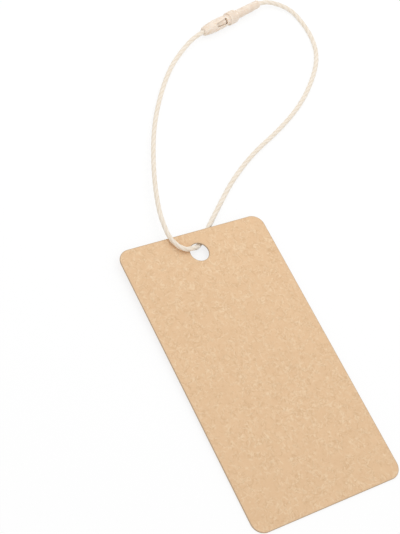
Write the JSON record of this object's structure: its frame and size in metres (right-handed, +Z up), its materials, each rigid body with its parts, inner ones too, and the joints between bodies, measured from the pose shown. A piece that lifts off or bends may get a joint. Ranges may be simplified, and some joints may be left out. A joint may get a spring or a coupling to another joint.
{
  "type": "gift tag",
  "caption": "Blank kraft card gift tag with rounded corners and a punched hole, tied with a loop of twisted cord that closes in a push-in plastic lock.",
  "frame": {"origin": "on the table under the middle of the card: the bottom centre of the card's own box", "axes": "+X across the card to its right, +Y along the card towards its hole, +Z up out of the card's front face"},
  "size_m": [0.1082, 0.1698, 0.0046],
  "materials": {
    "kraft_card": "matte, uncoated",
    "cotton_cord": "twisted, waxed",
    "lock_plastic": "moulded, satin"
  },
  "bodies": {
    "tag": {"tag_card": "kraft_card"},
    "loop": {"cord": "cotton_cord", "lock_socket": "lock_plastic"},
    "pin": {"lock_pin": "lock_plastic", "pin_barbs": "lock_plastic"}
  },
  "joints": [
    {"name": "loop_swing", "type": "hinge", "parent": "tag", "child": "loop", "pos_m": [0, 0.0381, 0], "axis": [0, 0, 1], "range_deg": [-30, 90]},
    {"name": "lock_slide", "type": "slide", "parent": "loop", "child": "pin", "axis": [0.9617, 0.274, 0], "range_m": [0, 0.011], "deforming": ["cord", "pin_barbs"]}
  ]
}
